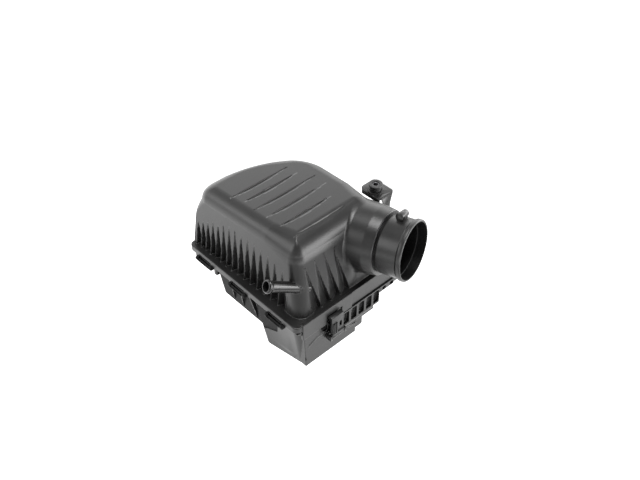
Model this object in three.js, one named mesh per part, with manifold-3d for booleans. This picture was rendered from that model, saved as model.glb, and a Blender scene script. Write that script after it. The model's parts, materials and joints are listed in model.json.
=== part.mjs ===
// Automotive air filter housing: lower case, hinged cover, filter, latches and mounts.
// Millimetres, +Z up. +X is the side the outlet duct leaves from, -Y is the hinge side.
import * as THREE from 'three';
import Module from 'manifold-3d';
import { mergeVertices } from 'three/addons/utils/BufferGeometryUtils.js';

const wasm = await Module();
wasm.setup();

// ---- driving dimensions; the flange plane is z = 0 and the near flange corner is x = 0, y = 0
const FLANGE_X = 212;          // long side of the flange
const FLANGE_Y = 178;          // short side of the flange
const FLANGE_R = 8;            // flange corner radius
const GAP = 0.3;               // parting clearance
const FIT = 0.06;              // running clearance of a pin in its bore
const WALL = 3;                // moulded wall
const PLATE = 4;               // cover flange thickness
const ROOF_LEFT = 94;          // roof height at the far end
const ROOF_RIGHT = 106.5;      // roof height at the duct end
const ROOF_LENGTH = 178;       // length over which the roof rises
const ROOF_ROUND = 20;         // roof edge radius
const PLEAT_DEPTH = 5;         // pleat depth where the wall meets the flange
const PLEAT_TOP = 0.72;        // share of the wall height at which the pleats run out
const SHELF_Z = -14;           // underside of the shallow shelf round the case
const DECK_Z = -61;            // underside of the middle part of the case
const SUMP_Z = -77;            // underside of the sump
const FLOOR_Z = -83;           // underside of the rubber isolators
const SKIRT_Z = -20;           // lower edge of the skirt on the duct side
const HINGE = { y: -2.6, z: -8.4, bar: 1.5, x: [-178, -109.5, -37], width: 24 };
const DUCT = {
  end: new THREE.Vector3(42.9, 155.6, 61.2),
  yaw: 15.7,
  pitch: 5,
  bead: 40,
  tube: 38,
  bore: 35.2,
  shoulder: 41.8,
  toShoulder: 36,
  root: 45.6,
  depth: 95,
};
const NIPPLE = {
  root: new THREE.Vector3(-20.6, 23.8, 43.4),
  tip: new THREE.Vector3(-30.4, -17.5, 65.8),
  tube: 7.1,
  bead: 8.5,
  bore: 5.6,
};
// the screw mount behind the cover; plate and top are heights
const MOUNT = { x: -60.4, y: 194.5, top: 86, plate: 74.5, eye: 7.6, bush: 9.3, sleeve: 4.6, bolt: 3.3 };
const PEGS = [
  { name: 'near', x: -28, y: 42, top: SUMP_Z },
  { name: 'rear', x: -36, y: 146, top: DECK_Z },
  { name: 'left', x: -148, y: 88, top: DECK_Z },
];
const INLET = { x: -105, z: -38.5, width: 64, height: 30, y0: 161, y1: 206 };
const PAST = 15;               // how far cutting tools run past what they cut
// origin of the delivered frame: bottom centre of the whole assembly
const ORIGIN = new THREE.Vector3(-79.1, 95.4, FLOOR_Z);

const rad = THREE.MathUtils.degToRad;
const root = new THREE.Group();
root.name = 'air_filter_housing';

const MATERIALS = {
  plastic: new THREE.MeshStandardMaterial({ name: 'case_plastic', color: 0x1b1c1e, roughness: 0.45 }),
  latch: new THREE.MeshStandardMaterial({ name: 'latch_plastic', color: 0x232427, roughness: 0.5 }),
  rubber: new THREE.MeshStandardMaterial({ name: 'rubber', color: 0x111111, roughness: 0.9 }),
  steel: new THREE.MeshStandardMaterial({ name: 'steel', color: 0x9a9ca0, roughness: 0.35, metalness: 1 }),
  paper: new THREE.MeshStandardMaterial({ name: 'paper', color: 0xd8cfae, roughness: 0.95 }),
};

// ---- solid helpers
function solid(geometry) {
  const g = new THREE.BufferGeometry();
  g.setAttribute('position', geometry.getAttribute('position').clone());
  if (geometry.index) {
    g.setIndex(geometry.index.clone());
  }
  const welded = mergeVertices(g, 1e-4);
  const mesh = new wasm.Mesh({
    numProp: 3,
    vertProperties: new Float32Array(welded.getAttribute('position').array),
    triVerts: new Uint32Array(welded.index.array),
  });
  return new wasm.Manifold(mesh);
}

function add(name, shape, material) {
  const mesh = shape.getMesh();
  const g = new THREE.BufferGeometry();
  const points = Float32Array.from(mesh.vertProperties);
  for (let i = 0; i < points.length; i += 3) {
    points[i] -= ORIGIN.x;
    points[i + 1] -= ORIGIN.y;
    points[i + 2] -= ORIGIN.z;
  }
  g.setAttribute('position', new THREE.BufferAttribute(points, 3));
  g.setIndex(new THREE.BufferAttribute(Uint32Array.from(mesh.triVerts), 1));
  g.computeVertexNormals();
  const item = new THREE.Mesh(g, MATERIALS[material]);
  item.name = name;
  root.add(item);
}

const join = (...parts) => parts.reduce((a, b) => a.add(b));
const cut = (base, ...tools) => tools.reduce((a, b) => a.subtract(b), base);

function box(x0, x1, y0, y1, z0, z1) {
  const g = new THREE.BoxGeometry(x1 - x0, y1 - y0, z1 - z0);
  g.translate((x0 + x1) / 2, (y0 + y1) / 2, (z0 + z1) / 2);
  return solid(g);
}

// plan outline pushed up from z0 to z1
function slab(outline, z0, z1) {
  const g = new THREE.ExtrudeGeometry(new THREE.Shape(outline), { depth: z1 - z0, bevelEnabled: false });
  g.translate(0, 0, z0);
  return solid(g);
}

// profile of [y, z] pairs pushed along x
function barX(profile, x0, x1) {
  const shape = new THREE.Shape(profile.map(([y, z]) => new THREE.Vector2(y, z)));
  const g = new THREE.ExtrudeGeometry(shape, { depth: x1 - x0, bevelEnabled: false });
  const m = new THREE.Matrix4().makeBasis(
    new THREE.Vector3(0, 1, 0), new THREE.Vector3(0, 0, 1), new THREE.Vector3(1, 0, 0));
  g.applyMatrix4(m);
  g.translate(x0, 0, 0);
  return solid(g);
}

// outline of (x, z) points pushed along y
function barY(outline, y0, y1) {
  const g = new THREE.ExtrudeGeometry(new THREE.Shape(outline), { depth: y1 - y0, bevelEnabled: false });
  g.applyMatrix4(new THREE.Matrix4().makeBasis(
    new THREE.Vector3(1, 0, 0), new THREE.Vector3(0, 0, 1), new THREE.Vector3(0, -1, 0)));
  g.translate(0, y1, 0);
  return solid(g);
}

// round bar or revolved profile of [radius, along] pairs from a point along a direction
function turned(profile, from, direction, segments = 40) {
  const g = new THREE.LatheGeometry(profile.map(([r, t]) => new THREE.Vector2(r, t)), segments);
  const q = new THREE.Quaternion().setFromUnitVectors(
    new THREE.Vector3(0, 1, 0), direction.clone().normalize());
  g.applyQuaternion(q);
  g.translate(from.x, from.y, from.z);
  return solid(g);
}

function rod(radius, from, to, segments = 24) {
  const along = to.clone().sub(from);
  const length = along.length();
  return turned([[0, 0], [radius, 0], [radius, length], [0, length]], from, along, segments);
}

const v3 = (x, y, z) => new THREE.Vector3(x, y, z);

// ---- rounded polygons
function insetCorners(corners, d) {
  const n = corners.length;
  const lines = corners.map((a, i) => {
    const b = corners[(i + 1) % n];
    const length = Math.hypot(b.x - a.x, b.y - a.y);
    const nx = -(b.y - a.y) / length;
    const ny = (b.x - a.x) / length;
    return { nx, ny, c: nx * a.x + ny * a.y + d };
  });
  return corners.map((corner, i) => {
    const p = lines[(i + n - 1) % n];
    const q = lines[i];
    const det = p.nx * q.ny - q.nx * p.ny;
    return {
      x: (p.c * q.ny - q.c * p.ny) / det,
      y: (p.nx * q.c - q.nx * p.c) / det,
      r: Math.max(corner.r - d, 1.5),
    };
  });
}

// points round a convex polygon: an arc of `arc` steps at each corner, then `sides[i]` steps along side i
function outlinePoints(corners, arc, sides) {
  const n = corners.length;
  const points = [];
  const arcs = corners.map((c, i) => {
    const a = corners[(i + n - 1) % n];
    const b = corners[(i + 1) % n];
    const u = new THREE.Vector2(a.x - c.x, a.y - c.y).normalize();
    const w = new THREE.Vector2(b.x - c.x, b.y - c.y).normalize();
    const half = Math.acos(THREE.MathUtils.clamp(u.dot(w), -1, 1)) / 2;
    const reach = c.r / Math.sin(half);
    const m = u.clone().add(w).normalize();
    const centre = new THREE.Vector2(c.x + m.x * reach, c.y + m.y * reach);
    const t0 = new THREE.Vector2(c.x, c.y).addScaledVector(u, c.r / Math.tan(half));
    const t1 = new THREE.Vector2(c.x, c.y).addScaledVector(w, c.r / Math.tan(half));
    const a0 = Math.atan2(t0.y - centre.y, t0.x - centre.x);
    let a1 = Math.atan2(t1.y - centre.y, t1.x - centre.x);
    if (a1 < a0) {
      a1 += 2 * Math.PI;
    }
    return Array.from({ length: arc + 1 }, (_, k) => {
      const angle = a0 + (a1 - a0) * k / arc;
      const nx = Math.cos(angle);
      const ny = Math.sin(angle);
      return { x: centre.x + c.r * nx, y: centre.y + c.r * ny, nx, ny };
    });
  });
  arcs.forEach((list, i) => {
    points.push(...list);
    const p = list[arc];
    const q = arcs[(i + 1) % n][0];
    for (let k = 1; k < sides[i]; k += 1) {
      const t = k / sides[i];
      points.push({
        x: p.x + (q.x - p.x) * t, y: p.y + (q.y - p.y) * t, nx: p.nx, ny: p.ny, side: i, t, k,
      });
    }
  });
  return points;
}

// corners of a rectangle, all of the same radius
const plan = (x0, x1, y0, y1, r) => [
  { x: x0, y: y0, r }, { x: x1, y: y0, r }, { x: x1, y: y1, r }, { x: x0, y: y1, r },
];

function roundRect(x0, x1, y0, y1, r, arc = 5) {
  return outlinePoints(plan(x0, x1, y0, y1, r), arc, [1, 1, 1, 1]).map((p) => new THREE.Vector2(p.x, p.y));
}

// closed solid through rings of equal length; both ends are closed on their middle
function loft(rings) {
  const n = rings[0].length;
  const points = rings.flat();
  const index = [];
  for (let i = 0; i + 1 < rings.length; i += 1) {
    for (let k = 0; k < n; k += 1) {
      const a = i * n + k;
      const b = i * n + (k + 1) % n;
      index.push(a, b, b + n, a, b + n, a + n);
    }
  }
  [[0, true], [rings.length - 1, false]].forEach(([level, flip]) => {
    const middle = points.length;
    const sum = rings[level].reduce((s, p) => s.add(p), v3(0, 0, 0)).divideScalar(n);
    points.push(sum);
    for (let k = 0; k < n; k += 1) {
      const a = level * n + k;
      const b = level * n + (k + 1) % n;
      index.push(...(flip ? [b, a, middle] : [a, b, middle]));
    }
  });
  const g = new THREE.BufferGeometry();
  g.setAttribute('position', new THREE.Float32BufferAttribute(points.flatMap((p) => [p.x, p.y, p.z]), 3));
  g.setIndex(index);
  return solid(g);
}

// ---- cover dome
const DOME_BASE = [
  { x: -210.3, y: 5, r: 3 }, { x: -5, y: 11, r: 14 }, { x: -5, y: 171, r: 14 },
  { x: -152, y: 171, r: 30 }, { x: -210.3, y: 100, r: 30 },
];
const DOME_TOP = [
  { x: -208, y: 16, r: 20 }, { x: -19, y: 19, r: 16 }, { x: -20, y: 165, r: 26 },
  { x: -152, y: 168, r: 34 }, { x: -208, y: 98, r: 34 },
];
const DOME_SIDES = [34, 16, 24, 2, 14];   // two steps to a pleat
const PLEATED = [[0, 1], [0.2, 0.72], [0, 1], null, [0, 1]];   // pleated share of each side

const roofZ = (x) => ROOF_RIGHT + (x + 20) * (ROOF_RIGHT - ROOF_LEFT) / ROOF_LENGTH;

// level: 0 at the flange, 1 at the roof; drop: distance under the roof, grow: offset of the whole surface
function domeRing(level, inward, drop, grow) {
  const corners = DOME_BASE.map((b, i) => ({
    x: b.x + (DOME_TOP[i].x - b.x) * level,
    y: b.y + (DOME_TOP[i].y - b.y) * level,
    r: b.r + (DOME_TOP[i].r - b.r) * level,
  }));
  const ring = outlinePoints(insetCorners(corners, inward - grow), 4, DOME_SIDES);
  return ring.map((p) => {
    const top = roofZ(p.x) - drop + grow;
    const z = drop > 0 && level >= 1 ? top : PLATE + GAP + level * (roofZ(p.x) - ROOF_ROUND - PLATE);
    const span = PLEATED[p.side];
    const valley = span && p.t > span[0] && p.t < span[1] && p.k % 2 === 1;
    const depth = valley ? PLEAT_DEPTH * Math.max(1 - level / PLEAT_TOP, 0) : 0;
    return v3(p.x - p.nx * depth, p.y - p.ny * depth, z);
  });
}

function domeSolid(grow, foot) {
  const rings = [0, 0.25, 0.5, 0.75].map((level) => domeRing(level, 0, 0, grow));
  rings.unshift(rings[0].map((p) => v3(p.x, p.y, foot)));
  const steps = 4;
  for (let k = 0; k <= steps; k += 1) {
    const angle = rad(90 * k / steps);
    const inward = ROOF_ROUND * (1 - Math.cos(angle));
    const drop = ROOF_ROUND * (1 - Math.sin(angle)) + 0.001;
    rings.push(domeRing(1, inward, drop, grow));
  }
  return loft(rings);
}

const domeOuter = domeSolid(0, PLATE + GAP);
const domeInner = domeSolid(-WALL, PLATE + GAP - 5);
const domeKeepOut = domeSolid(GAP, PLATE - 5);

// ---- outlet duct
const ductAxis = v3(
  Math.cos(rad(DUCT.pitch)) * Math.cos(rad(DUCT.yaw)),
  Math.cos(rad(DUCT.pitch)) * Math.sin(rad(DUCT.yaw)),
  Math.sin(rad(DUCT.pitch)));
const ductFrom = DUCT.end.clone().addScaledVector(ductAxis, -DUCT.depth);
const ductRod = (radius, start, stop) => turned(
  [[0, start], [radius, start], [radius, stop], [0, stop]], ductFrom, ductAxis, 48);
const ductBore = ductRod(DUCT.bore, 0, DUCT.depth + PAST);
const shoulderAt = DUCT.depth - DUCT.toShoulder;
const BELL_RUN = 14;           // length over which the bell narrows to the shoulder
const ductOuter = turned([
  [0, 8],
  [DUCT.root, 8],
  [DUCT.root - 1, shoulderAt - BELL_RUN],
  [DUCT.shoulder, shoulderAt - 1],
  [DUCT.shoulder - 1, shoulderAt],
  [DUCT.tube, shoulderAt + 2],
  [DUCT.tube, DUCT.depth - 7.5],
  [DUCT.bead, DUCT.depth - 5],
  [DUCT.bead, DUCT.depth - 1.5],
  [DUCT.tube + 0.6, DUCT.depth],
  [0, DUCT.depth],
], ductFrom, ductAxis, 48);
// only the run outside the dome, and nothing above the roof, is kept
const underRoof = roofZ(-22) - 1.5;
const overRoof = box(-120, 80, 60, 240, underRoof, underRoof + 60);
const insideDome = box(-160, -31, 40, 260, -60, underRoof + 60);
const duct = cut(ductOuter, ductBore, domeKeepOut, overRoof, insideDome);

// small lug standing on the tube
const LUG = { back: 21, turn: -16, radius: 5.2, height: 17, middle: 4.2, base: [9, 13, 9], baseMiddle: 1 };
const lugFrame = new THREE.Matrix4();
const ductUp = v3(0, 0, 1).addScaledVector(ductAxis, -ductAxis.z).normalize();
ductUp.applyAxisAngle(ductAxis, rad(LUG.turn));
lugFrame.makeBasis(ductAxis, new THREE.Vector3().crossVectors(ductUp, ductAxis), ductUp);
lugFrame.setPosition(DUCT.end.clone().addScaledVector(ductAxis, -LUG.back));
const lugShape = new THREE.CylinderGeometry(LUG.radius - 0.4, LUG.radius, LUG.height, 16);
const lugBlock = new THREE.BoxGeometry(...LUG.base);
lugShape.translate(0, 0, DUCT.tube + LUG.middle);
lugBlock.translate(0, 0, DUCT.tube + LUG.baseMiddle);
lugShape.applyMatrix4(lugFrame);
lugBlock.applyMatrix4(lugFrame);
const ductLug = cut(
  join(solid(lugShape), solid(lugBlock)),
  ductRod(DUCT.tube + GAP, 20, DUCT.depth + PAST));

// ---- breather nipple
const nippleAxis = NIPPLE.tip.clone().sub(NIPPLE.root);
const nippleInside = 20;       // length drawn inside the dome before the wall is cut out
const nippleFrom = NIPPLE.root.clone().addScaledVector(nippleAxis.clone().normalize(), -nippleInside);
const nippleEnd = nippleInside + nippleAxis.length();
const nippleBore = turned(
  [[0, 0], [NIPPLE.bore, 0], [NIPPLE.bore, nippleEnd + PAST], [0, nippleEnd + PAST]],
  nippleFrom, nippleAxis, 20);
const nippleOuter = turned([
  [0, 8],
  [NIPPLE.tube, 8],
  [NIPPLE.tube, nippleEnd - 6],
  [NIPPLE.bead, nippleEnd - 4],
  [NIPPLE.bead, nippleEnd - 1.5],
  [NIPPLE.tube, nippleEnd],
  [0, nippleEnd],
], nippleFrom, nippleAxis, 28);
const nipple = cut(nippleOuter, nippleBore, domeKeepOut);

// ---- roof grooves, lens shaped, following the short side
const GROOVE = { half: 4, tip: 0.4, floor: 0.6, depth: 1.6, deepest: 0.35, over: 4 };
const GROOVES = [
  { x: -153.5, y0: 31, y1: 127 },
  { x: -135, y0: 36, y1: 132 },
  { x: -113, y0: 36, y1: 138 },
  { x: -91, y0: 35, y1: 138 },
  { x: -66.5, y0: 34, y1: 127 },
  { x: -41, y0: 33, y1: 141 },
];
const grooveCuts = GROOVES.map(({ x, y0, y1 }) => {
  const z = roofZ(x);
  const middle = y0 + (y1 - y0) * GROOVE.deepest;
  const pair = (y, half, level) => [v3(x - half, y, level), v3(x + half, y, level)];
  const high = z + GROOVE.over;
  const top = [
    ...pair(y0, GROOVE.tip, high),
    ...pair(middle, GROOVE.half, high),
    ...pair(y1, GROOVE.tip, high),
  ];
  const low = [
    ...pair(y0, GROOVE.tip, z),
    ...pair(middle, GROOVE.floor, z - GROOVE.depth),
    ...pair(y1, GROOVE.tip, z),
  ];
  const order = [0, 1, 3, 5, 4, 2];
  return loft([order.map((i) => low[i]), order.map((i) => top[i])]);
});

const dome = cut(domeOuter, domeInner, ductBore, nippleBore, ...grooveCuts);
add('cover', dome, 'plastic');
add('outlet_duct', duct, 'plastic');
add('duct_lug', ductLug, 'plastic');
add('breather_nipple', nipple, 'plastic');

// ---- cover rim: flange plate, lip all round, deep skirt on the duct side
const domeMouth = domeRing(0, WALL, 0, 0).map((p) => new THREE.Vector2(p.x, p.y));
const rimOutline = roundRect(-FLANGE_X, 2.5, -1.5, FLANGE_Y, FLANGE_R);
const lipInner = roundRect(-FLANGE_X + 2.7, -0.5, 1.2, FLANGE_Y - 2.7, FLANGE_R - 2.7);
const LIP_Z = -5;
const SKIRT = { back: -0.5, front: 2.5, thick: 4.2, thickTo: 95, top: PLATE + 1.4 };
const RECESS = { y0: 47.4, y1: 73.4, top: -6 };   // room for the side latch and its keeper
const rim = join(
  cut(slab(rimOutline, 0, PLATE), slab(domeMouth, -1, PLATE + 1)),
  cut(slab(rimOutline, LIP_Z, 0.1), slab(lipInner, LIP_Z - 1, 1)),
  box(SKIRT.back, SKIRT.front, FLANGE_R, FLANGE_Y - FLANGE_R, SKIRT_Z, 1),
  box(SKIRT.back, SKIRT.thick, FLANGE_R, SKIRT.thickTo, SKIRT_Z, SKIRT.top),
);
const recess = box(SKIRT.front - 0.1, SKIRT.thick + 1, RECESS.y0, RECESS.y1, SKIRT_Z - 1, RECESS.top);
add('cover_rim', cut(rim, recess), 'plastic');

// ---- lower case: shallow shelf, deck and sump in one moulding, open at the top
function tub(low, high, z0, z1, inward) {
  const ring = (corners, z) => outlinePoints(insetCorners(corners, inward), 4, low.map(() => 1))
    .map((p) => v3(p.x, p.y, z));
  return loft([ring(low, z0), ring(high, z1)]);
}
const SHELF = plan(-198, -11, 12, 166, 8);
const DECK_LOW = plan(-163, -20, 15, 160, 12);
const DECK_HIGH = plan(-178, -14, 14, 164, 12);
const SUMP_LOW = [
  { x: -65.5, y: 5, r: 5 }, { x: -1.5, y: 15, r: 9 }, { x: -1.5, y: 103, r: 6 }, { x: -70, y: 103, r: 6 },
];
const SUMP_HIGH = [
  { x: -88, y: 4, r: 5 }, { x: -1.5, y: 3, r: 9 }, { x: -1.5, y: 104, r: 6 }, { x: -85, y: 104, r: 6 },
];
const RIM_LOW = -7.5;
const caseTop = RIM_LOW - GAP;
// outer panel on the duct side: its upper edge steps down from the skirt towards the back
const PANEL_LOW = -74;
const PANEL = [
  [14, PANEL_LOW], [101, PANEL_LOW], [101, -58], [79, -56], [74, -50], [74, SKIRT_Z - GAP],
  [17, SKIRT_Z - GAP], [33.5, -34], [20, -42], [14, -46],
];
const PANEL_X = { back: -8, front: 2.4 };
// solid lobes: behind the panel, and two on the hinge side
const LOBES = [
  box(PANEL_X.back, PANEL_X.front, 100, 115, -70, -52),
  box(-206, -180, 2, 16, -20, caseTop),
  box(-167, -159, 2, 16, -20.5, caseTop),
];
const caseOuter = join(
  tub(SHELF, SHELF, SHELF_Z, caseTop, 0),
  tub(DECK_LOW, DECK_HIGH, DECK_Z, caseTop, 0),
  tub(SUMP_LOW, SUMP_HIGH, SUMP_Z, caseTop, 0),
  barX(PANEL, PANEL_X.back, PANEL_X.front),
  ...LOBES,
);
const caseInner = join(
  tub(SHELF, SHELF, SHELF_Z + WALL, caseTop + 2, WALL),
  tub(DECK_LOW, DECK_HIGH, DECK_Z + WALL, caseTop + 2, WALL),
  tub(SUMP_LOW, SUMP_HIGH, SUMP_Z + WALL, -16, WALL),
);
const inletHalf = { x: INLET.width / 2 + GAP, z: INLET.height / 2 + GAP };
const inletHole = box(
  INLET.x - inletHalf.x, INLET.x + inletHalf.x, INLET.y0 - PAST, INLET.y0 + PAST,
  INLET.z - inletHalf.z, INLET.z + inletHalf.z);
add('lower_case', cut(caseOuter, caseInner, inletHole), 'plastic');

// rim of the lower case with the seat of the filter seal
const lowerOutline = roundRect(-FLANGE_X + 3.2, -1, 1.7, FLANGE_Y - 3.2, FLANGE_R - 3);
const seatOutline = roundRect(-201.8, -8.2, 8.2, 169.8, 6);
const mouthOutline = roundRect(-192.5, -17.5, 17.5, 160.5, 8);
const SEAT_Z = -3.8;
const lowerRim = cut(
  slab(lowerOutline, RIM_LOW, -GAP),
  slab(mouthOutline, RIM_LOW - 1, 1),
  slab(seatOutline, SEAT_Z, 1));
add('lower_rim', lowerRim, 'plastic');

// ---- pocketed rail under the skirt
const POCKET = { half: 4.9, low: -42.5, high: -22 };
const SMALL_POCKET = { half: 3.3, low: -27.5, high: -22 };
const POCKETS = [80.5, 94.2, 107.8, 121.4, 134.9];
const SMALL_POCKETS = [149.6, 163.5];
const RAIL = { back: -0.9, floor: 0.6, front: 5, edge: 6.4, top: SKIRT_Z - GAP };
const pocketCut = (y, size) => (
  box(RAIL.floor, RAIL.edge + 1, y - size.half, y + size.half, size.low, size.high));
const rail = cut(
  join(
    box(RAIL.back, RAIL.front, 74.4, 142, -46, RAIL.top),
    box(RAIL.back, RAIL.edge, 74.4, 130, -49, -45),
    box(RAIL.back, RAIL.front, 141, 169, -29.5, RAIL.top),
  ),
  ...POCKETS.map((y) => pocketCut(y, POCKET)),
  ...SMALL_POCKETS.map((y) => pocketCut(y, SMALL_POCKET)),
);
const RAIL_WEBS = [114, 155];   // stiffening webs from the rail back to the case
const railWeb = join(...RAIL_WEBS.map((y) => box(-10.7, -0.5, y, y + 3, -30, -8.2)));
add('pocket_rail', join(rail, railWeb), 'plastic');

// ---- hinge: bar between two ears on the case, hook of the cover curled under the bar
const EAR = { width: 4, radius: 2.9, back: 1.4, low: -11.5 };
const HOOK = { outer: 3.1, from: 195, to: 365, tongue: [-0.95, 0.45], side: 0.6 };
const HINGE_TOP = LIP_Z - GAP;
const arcPoints = (radius, a0, a1, steps) => Array.from({ length: steps + 1 }, (_, k) => {
  const a = rad(a0 + (a1 - a0) * k / steps);
  return [HINGE.y + radius * Math.cos(a), HINGE.z + radius * Math.sin(a)];
});
HINGE.x.forEach((x, i) => {
  const half = HINGE.width / 2;
  const earProfile = [
    [EAR.back, EAR.low], [EAR.back, HINGE_TOP], [HINGE.y, HINGE_TOP], ...arcPoints(EAR.radius, 110, 270, 8)];
  const ears = [-1, 1].map((s) => {
    const x0 = x + s * half;
    return barX(earProfile, Math.min(x0, x0 + s * EAR.width), Math.max(x0, x0 + s * EAR.width));
  });
  const bar = rod(HINGE.bar, v3(x - half - 1, HINGE.y, HINGE.z), v3(x + half + 1, HINGE.y, HINGE.z), 20);
  const reach = half + EAR.width;
  const web = box(x - reach, x + reach, EAR.back - 0.2, EAR.back, EAR.low, HINGE.z + 0.8);
  add(`hinge_rail_${i + 1}`, join(...ears, bar, web), 'plastic');
  const curl = [
    ...arcPoints(HOOK.outer, HOOK.from, HOOK.to, 14),
    ...arcPoints(HINGE.bar + 2 * FIT, HOOK.to, HOOK.from, 12),
  ];
  const [near, far] = HOOK.tongue;
  const tongue = [[near, HINGE.z], [far, HINGE.z], [far, HINGE_TOP], [near, HINGE_TOP]];
  const x0 = x - half + HOOK.side;
  const x1 = x + half - HOOK.side;
  add(`hinge_hook_${i + 1}`, join(barX(curl, x0, x1), barX(tongue, x0, x1)), 'plastic');
});

// ---- latches: lever on a pin between two lugs of the case, keeper on the cover
const LATCH = {
  width: 20,
  plate: 1.5,        // half thickness of the lever plate
  hub: 3.4,
  pin: 1.5,
  lug: 3.1,
  overhang: 3.4,
  tip: 3,            // thickness of the hooked tip
  ribs: [-8.6, -5.6, -2.6],
  ribWidth: 1.4,
  ribHigh: 1.5,
};
function latch(name, { u, wall, pivot, hook, keeper, side }) {
  // local v points away from the case; turn it onto +X or +Y
  const place = (u0, u1, v0, v1, z0, z1) => (side === 'x'
    ? box(v0, v1, u + u0, u + u1, z0, z1)
    : box(u + u0, u + u1, v0, v1, z0, z1));
  const bar = (radius, u0, u1, v, z, segments) => (side === 'x'
    ? rod(radius, v3(v, u + u0, z), v3(v, u + u1, z), segments)
    : rod(radius, v3(u + u0, v, z), v3(u + u1, v, z), segments));
  const half = LATCH.width / 2;
  const end = half + 0.5 + LATCH.lug;
  const front = pivot.v + LATCH.plate;
  const raised = (u0, u1, z0, z1) => (
    place(u0, u1, front - 0.5, front + LATCH.ribHigh, pivot.z + z0, pivot.z + z1));
  const lever = join(
    place(-half, half, pivot.v - LATCH.plate, front, pivot.z, hook.z + LATCH.tip),
    place(-half, half, hook.v, pivot.v, hook.z, hook.z + LATCH.tip),
    bar(LATCH.hub, -half, half, pivot.v, pivot.z, 24),
    ...LATCH.ribs.map((r) => raised(r, r + LATCH.ribWidth, 5, 23)),
    raised(-half, half, 3, 5),
  );
  const eye = place(3, 7, pivot.v - 4, pivot.v + 6, pivot.z + 12, pivot.z + 21);
  const pinBore = bar(LATCH.pin + FIT, -end - 1, end + 1, pivot.v, pivot.z, 20);
  add(name, cut(lever, pinBore, eye), 'latch');
  const pinHalf = half + LATCH.overhang;
  add(`${name}_pin`, bar(LATCH.pin, -pinHalf, pinHalf, pivot.v, pivot.z, 20), 'steel');
  const lugBox = (u0, u1, v1) => place(u0, u1, wall, v1, pivot.z - 3.6, pivot.z + 4);
  const lugs = join(
    lugBox(-end, -end + LATCH.lug, pivot.v + LATCH.hub),
    lugBox(end - LATCH.lug, end, pivot.v + LATCH.hub),
    lugBox(-end, end, wall + 1.2),
  );
  add(`${name}_lugs`, cut(lugs, pinBore), 'plastic');
  const wedge = place(-half + 2, half - 2, keeper.v0, keeper.v1, keeper.z0, keeper.z1);
  add(`${name}_keeper`, wedge, 'plastic');
}
latch('latch_side', {
  u: 60.4, side: 'x', wall: 2.9, pivot: { v: 8.6, z: -42 }, hook: { v: 3.6, z: -11.5 },
  keeper: { v0: 2.7, v1: 6.2, z0: -15.6, z1: -12 },
});
const backWall = FLANGE_Y + GAP;
[['latch_back_left', -157], ['latch_back_right', -16]].forEach(([name, u]) => {
  latch(name, {
    u, side: 'y', wall: 163, pivot: { v: 184.6, z: -34 }, hook: { v: backWall + 0.4, z: 0.5 },
    keeper: { v0: backWall, v1: backWall + 3.2, z0: -4, z1: 0 },
  });
});

// ---- inlet duct pushed through the back wall of the case
function inletSlab(grow, y0, y1) {
  const w = INLET.width / 2 + grow;
  const h = INLET.height / 2 + grow;
  const outline = roundRect(INLET.x - w, INLET.x + w, INLET.z - h, INLET.z + h, 4 + grow / 2, 3);
  return barY(outline, y0, y1);
}
add('inlet_duct', cut(
  join(inletSlab(0, INLET.y0, INLET.y1), inletSlab(3, 165, 168.5), inletSlab(2, INLET.y1 - 4, INLET.y1)),
  inletSlab(-WALL, INLET.y0 - 5, INLET.y1 + 5)), 'plastic');

// ---- mounting bracket behind the cover, with rubber bush and steel sleeve
const BRACKET = { x0: -79, x1: -43.2, y0: 185, y1: 212, thick: 3, boss: 2, ring: 3.2, lip: 6, lipThick: 1.6 };
const FOOT = { x0: -58, x1: -36, y0: 163.9, y1: 167, low: -24, high: -14.5 };   // where it meets the case
const plateLow = MOUNT.plate - BRACKET.thick;
const legProfile = [
  [189, MOUNT.plate], [209, MOUNT.plate], [205.5, 58], [205, FOOT.low],
  [FOOT.y0, FOOT.low], [FOOT.y0, FOOT.high], [196, FOOT.high], [197, 52],
];
const lip = box(
  BRACKET.x0 + 5, BRACKET.x1, BRACKET.y0 - BRACKET.lipThick, BRACKET.y0 + 0.1,
  MOUNT.plate - BRACKET.lip, MOUNT.plate);
const mountRod = (radius, z0, z1) => rod(radius, v3(MOUNT.x, MOUNT.y, z0), v3(MOUNT.x, MOUNT.y, z1), 32);
add('mount_bracket', cut(
  join(
    slab(roundRect(BRACKET.x0, BRACKET.x1, BRACKET.y0, BRACKET.y1, 5), plateLow, MOUNT.plate),
    mountRod(MOUNT.eye + BRACKET.ring, plateLow, MOUNT.plate + BRACKET.boss),
    lip,
    barX(legProfile, BRACKET.x1 - BRACKET.thick, BRACKET.x1),
    box(FOOT.x0, FOOT.x1, FOOT.y0, FOOT.y1, FOOT.low, FOOT.high),
  ),
  mountRod(MOUNT.eye, plateLow - 9, MOUNT.top)), 'plastic');
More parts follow.
